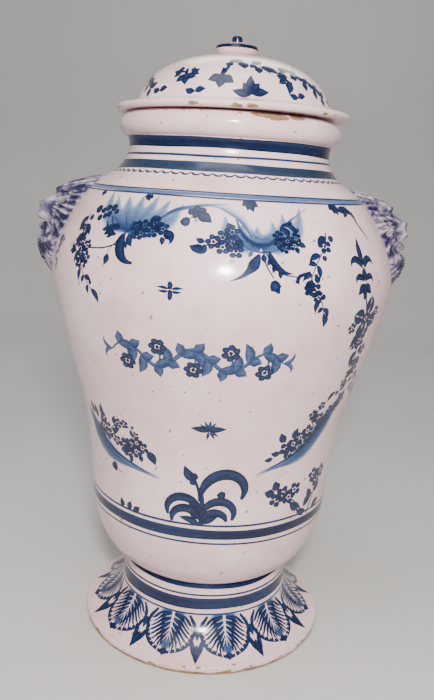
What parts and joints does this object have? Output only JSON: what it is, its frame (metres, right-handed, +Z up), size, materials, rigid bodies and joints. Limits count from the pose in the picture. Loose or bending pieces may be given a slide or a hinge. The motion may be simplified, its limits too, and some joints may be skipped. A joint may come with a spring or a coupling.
{
  "type": "apothecary jar",
  "caption": "Tall covered drug jar in blue-painted tin glaze: baluster body on a spreading foot, lion masks on the shoulder, domed lid with a knob that lifts off.",
  "frame": {"origin": "centre of the foot's resting ring, on the jar's axis, at the surface it stands on", "axes": "+Z up along the jar's axis; the painted front faces -Y; the lion masks are at +X and -X"},
  "size_m": [0.3004, 0.2688, 0.4776],
  "materials": {
    "painted_glaze": "gloss",
    "mask_glaze": "gloss",
    "button_glaze": "gloss",
    "bare_clay": "matte"
  },
  "bodies": {
    "jar": {"foot": "painted_glaze", "lower_body": "painted_glaze", "upper_body": "painted_glaze", "mask_left": "mask_glaze", "mask_right": "mask_glaze"},
    "lid": {"lid": "painted_glaze", "lid_bezel": "bare_clay", "knob": "painted_glaze", "knob_button": "button_glaze"}
  },
  "joints": [
    {"name": "lid_lift", "type": "slide", "parent": "jar", "child": "lid", "axis": [0, 0, 1], "range_m": [0, 0.15]}
  ]
}
